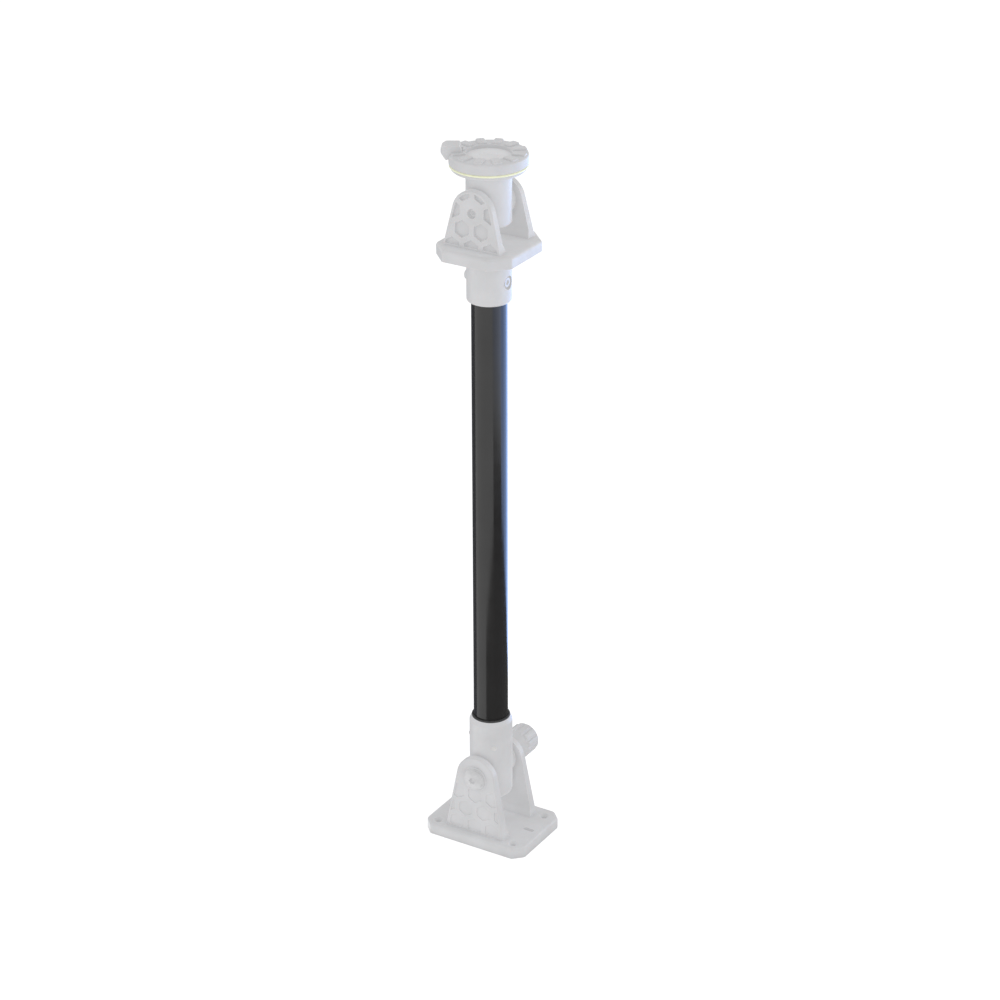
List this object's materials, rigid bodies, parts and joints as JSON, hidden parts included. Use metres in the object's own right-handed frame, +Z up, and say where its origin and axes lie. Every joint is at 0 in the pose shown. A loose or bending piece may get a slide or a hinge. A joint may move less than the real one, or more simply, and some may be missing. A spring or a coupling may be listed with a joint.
{
  "type": "pool handrail",
  "caption": "Straight tube rail post between two tilting clevis brackets, with a hand-knob clamp below and a tilting, rotating lock head above.",
  "frame": {"origin": "centre of the base plate's underside", "axes": "+Z up along the tube at rest, X along the base plate's long side, Y along both tilt pivots with the hand knob on the +Y side"},
  "size_m": [0.1076, 0.1055, 0.68],
  "materials": {
    "moulded_grey": "fine moulded texture",
    "knob_grey": "fine moulded texture",
    "tube_black": "gloss powder coat",
    "ring_yellow": "satin",
    "nylon": "natural nylon",
    "stainless": "brushed",
    "hub_pale": "satin",
    "rubber": "matte",
    "brass": "turned"
  },
  "bodies": {
    "base": {"base_bracket": "moulded_grey", "lower_pivot_bolt": "stainless", "lower_head_washer": "stainless", "lower_pivot_sleeve": "stainless", "lower_friction_discs": "nylon"},
    "knob_washer": {"knob_washer": "stainless"},
    "knob": {"knob": "knob_grey", "knob_insert": "brass", "knob_cap": "knob_grey"},
    "post": {"lower_socket": "moulded_grey", "lower_pivot_bushes": "nylon", "grub_screw": "nylon", "lower_cross_pin": "stainless", "mouth_seal": "rubber", "tube": "tube_black", "tube_end_plugs": "nylon", "upper_bracket": "moulded_grey", "upper_cross_bolt": "stainless", "upper_cross_nut": "stainless", "upper_pivot_bolt": "stainless", "upper_pivot_nut": "stainless", "upper_pivot_sleeve": "stainless", "upper_friction_discs": "nylon"},
    "head": {"head_neck": "moulded_grey", "upper_pivot_bushes": "nylon", "neck_insert": "brass", "friction_ring": "ring_yellow", "head_spindle": "stainless", "spindle_washers": "stainless"},
    "turret": {"turret_cup": "knob_grey", "turret_hub": "hub_pale", "hub_cap": "hub_pale", "turret_bush": "nylon", "detent_balls": "stainless", "detent_springs": "stainless", "lever_pin": "stainless", "lever_spring": "stainless"},
    "lever": {"lock_lever": "knob_grey"}
  },
  "joints": [
    {"name": "base_tilt", "type": "hinge", "parent": "base", "child": "post", "pos_m": [0, 0, 0.0685], "axis": [0, 1, 0], "range_deg": [-90, 90]},
    {"name": "knob_travel", "type": "slide", "parent": "base", "child": "knob_washer", "axis": [0, 1, 0], "range_m": [0, 0.0025]},
    {"name": "knob_turn", "type": "hinge", "parent": "knob_washer", "child": "knob", "pos_m": [0, 0.045, 0.0685], "axis": [0, 1, 0], "range_deg": [0, 725]},
    {"name": "head_tilt", "type": "hinge", "parent": "post", "child": "head", "pos_m": [0, 0, 0.625], "axis": [0, 1, 0], "range_deg": [-85, 85]},
    {"name": "head_turn", "type": "hinge", "parent": "head", "child": "turret", "pos_m": [0, 0, 0.66], "axis": [0, 0, 1], "continuous": true},
    {"name": "lever_press", "type": "hinge", "parent": "turret", "child": "lever", "pos_m": [-0.02554, -0.01535, 0.6702], "axis": [0.515, -0.8572, 0], "range_deg": [0, 8], "stiffness_Nm_per_rad": 0.05, "deforming": ["lever_spring"]}
  ],
  "couplings": [
    {"joint": "knob_turn", "follows": "knob_travel", "rad_per_m": 5026.5}
  ]
}
